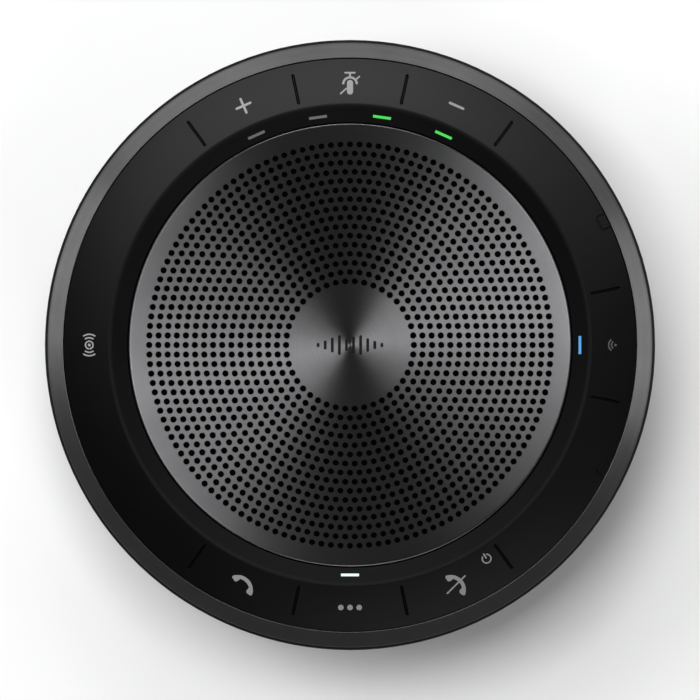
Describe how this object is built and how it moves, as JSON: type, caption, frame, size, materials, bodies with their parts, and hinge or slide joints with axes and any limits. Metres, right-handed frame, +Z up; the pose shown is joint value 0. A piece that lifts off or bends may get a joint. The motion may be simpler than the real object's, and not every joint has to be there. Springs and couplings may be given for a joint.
{
  "type": "conference speakerphone",
  "caption": "Round table-top conference speakerphone: spun metal speaker grille, soft black control ring with press keys and light bars, metal trim ring and bowl casing.",
  "frame": {"origin": "centre of the round footprint, on the table", "axes": "+Z up; +X towards the wireless key and the two side sockets; +Y towards the mute key"},
  "size_m": [0.16, 0.16, 0.043],
  "materials": {
    "casing_plastic": "fine matt texture",
    "trim_metal": "brushed round, dark anodised",
    "soft_black": "satin soft-touch skin",
    "grille_metal": "spun, dark anodised",
    "grille_cloth": "fine woven mesh",
    "foot_rubber": "matt",
    "label_film": "satin printed film",
    "inner_plastic": "moulded",
    "chamber_plastic": "moulded",
    "screw_steel": "zinc plated",
    "green_board": "solder mask",
    "lamp_package": "clear resin",
    "mic_can": "plated",
    "boot_rubber": "matt",
    "antenna_film": "polyimide film",
    "magnet_ferrite": "sintered",
    "zinc_steel": "zinc plated",
    "basket_steel": "black lacquer",
    "cone_paper": "pressed pulp",
    "cone_rubber": "satin",
    "spider_cloth": "resin-dipped weave",
    "former_film": "polyimide film",
    "coil_copper": "enamelled wire",
    "shield_tin": "tinned",
    "chip_black": "moulded epoxy",
    "socket_steel": "nickel plated",
    "ribbon_film": "flat film cable",
    "connector_plastic": "moulded",
    "cell_wrap": "shrink sleeve",
    "lead_insulation": "insulated wire",
    "dome_steel": "stainless",
    "light_guide": "frosted clear light guide, unlit",
    "light_guide_green": "frosted clear light guide, lit green",
    "light_guide_blue": "frosted clear light guide, lit blue",
    "light_guide_white": "frosted clear light guide, lit white"
  },
  "bodies": {
    "housing": {"bottom_casing": "casing_plastic", "trim_ring": "trim_metal", "control_ring": "soft_black", "speaker_grille": "grille_metal", "grille_cloth": "grille_cloth", "foot_ring": "foot_rubber", "base_label": "label_film", "inner_chassis": "inner_plastic", "casing_screws": "screw_steel", "ring_screws": "screw_steel", "board_screws": "screw_steel", "driver_screws": "screw_steel", "key_board": "green_board", "indicator_lamps": "lamp_package", "microphones": "mic_can", "microphone_boots": "boot_rubber", "pairing_antenna": "antenna_film", "speaker_chamber": "chamber_plastic", "lead_grommet": "boot_rubber", "driver_yoke": "zinc_steel", "driver_magnet": "magnet_ferrite", "driver_top_plate": "zinc_steel", "driver_basket": "basket_steel", "driver_gasket": "boot_rubber", "driver_surround": "cone_rubber", "driver_spider": "spider_cloth", "main_board": "green_board", "radio_shield": "shield_tin", "board_chips": "chip_black", "data_socket": "socket_steel", "extension_socket": "socket_steel", "board_ribbon": "ribbon_film", "ribbon_connectors": "connector_plastic", "battery_cells": "cell_wrap", "battery_cradles": "inner_plastic", "internal_leads": "lead_insulation", "wireless_dome": "dome_steel", "volume_down_dome": "dome_steel", "mute_dome": "dome_steel", "volume_up_dome": "dome_steel", "answer_dome": "dome_steel", "menu_dome": "dome_steel", "hang_up_dome": "dome_steel", "level_light_1": "light_guide", "level_light_2": "light_guide", "level_light_3": "light_guide_green", "level_light_4": "light_guide_green", "wireless_light": "light_guide_blue", "status_light": "light_guide_white"},
    "speaker_cone": {"driver_cone": "cone_paper", "dust_cap": "cone_paper", "voice_coil_former": "former_film", "voice_coil_winding": "coil_copper"},
    "wireless_button": {"wireless_key": "soft_black"},
    "volume_down_button": {"volume_down_key": "soft_black"},
    "mute_button": {"mute_key": "soft_black"},
    "volume_up_button": {"volume_up_key": "soft_black"},
    "answer_button": {"answer_key": "soft_black"},
    "menu_button": {"menu_key": "soft_black"},
    "hang_up_button": {"hang_up_key": "soft_black"}
  },
  "joints": [
    {"name": "wireless_press", "type": "slide", "parent": "housing", "child": "wireless_button", "axis": [0, 0, -1], "range_m": [0, 0.00045], "stiffness_N_per_m": 300, "springref_m": -0.003, "deforming": ["wireless_dome"]},
    {"name": "volume_down_press", "type": "slide", "parent": "housing", "child": "volume_down_button", "axis": [0, 0, -1], "range_m": [0, 0.00045], "stiffness_N_per_m": 300, "springref_m": -0.003, "deforming": ["volume_down_dome"]},
    {"name": "mute_press", "type": "slide", "parent": "housing", "child": "mute_button", "axis": [0, 0, -1], "range_m": [0, 0.00045], "stiffness_N_per_m": 300, "springref_m": -0.003, "deforming": ["mute_dome"]},
    {"name": "volume_up_press", "type": "slide", "parent": "housing", "child": "volume_up_button", "axis": [0, 0, -1], "range_m": [0, 0.00045], "stiffness_N_per_m": 300, "springref_m": -0.003, "deforming": ["volume_up_dome"]},
    {"name": "answer_press", "type": "slide", "parent": "housing", "child": "answer_button", "axis": [0, 0, -1], "range_m": [0, 0.00045], "stiffness_N_per_m": 300, "springref_m": -0.003, "deforming": ["answer_dome"]},
    {"name": "menu_press", "type": "slide", "parent": "housing", "child": "menu_button", "axis": [0, 0, -1], "range_m": [0, 0.00045], "stiffness_N_per_m": 300, "springref_m": -0.003, "deforming": ["menu_dome"]},
    {"name": "hang_up_press", "type": "slide", "parent": "housing", "child": "hang_up_button", "axis": [0, 0, -1], "range_m": [0, 0.00045], "stiffness_N_per_m": 300, "springref_m": -0.003, "deforming": ["hang_up_dome"]},
    {"name": "cone_travel", "type": "slide", "parent": "housing", "child": "speaker_cone", "axis": [0, 0, 1], "range_m": [-0.002, 0.002], "stiffness_N_per_m": 1500, "deforming": ["driver_surround", "driver_spider"]}
  ]
}
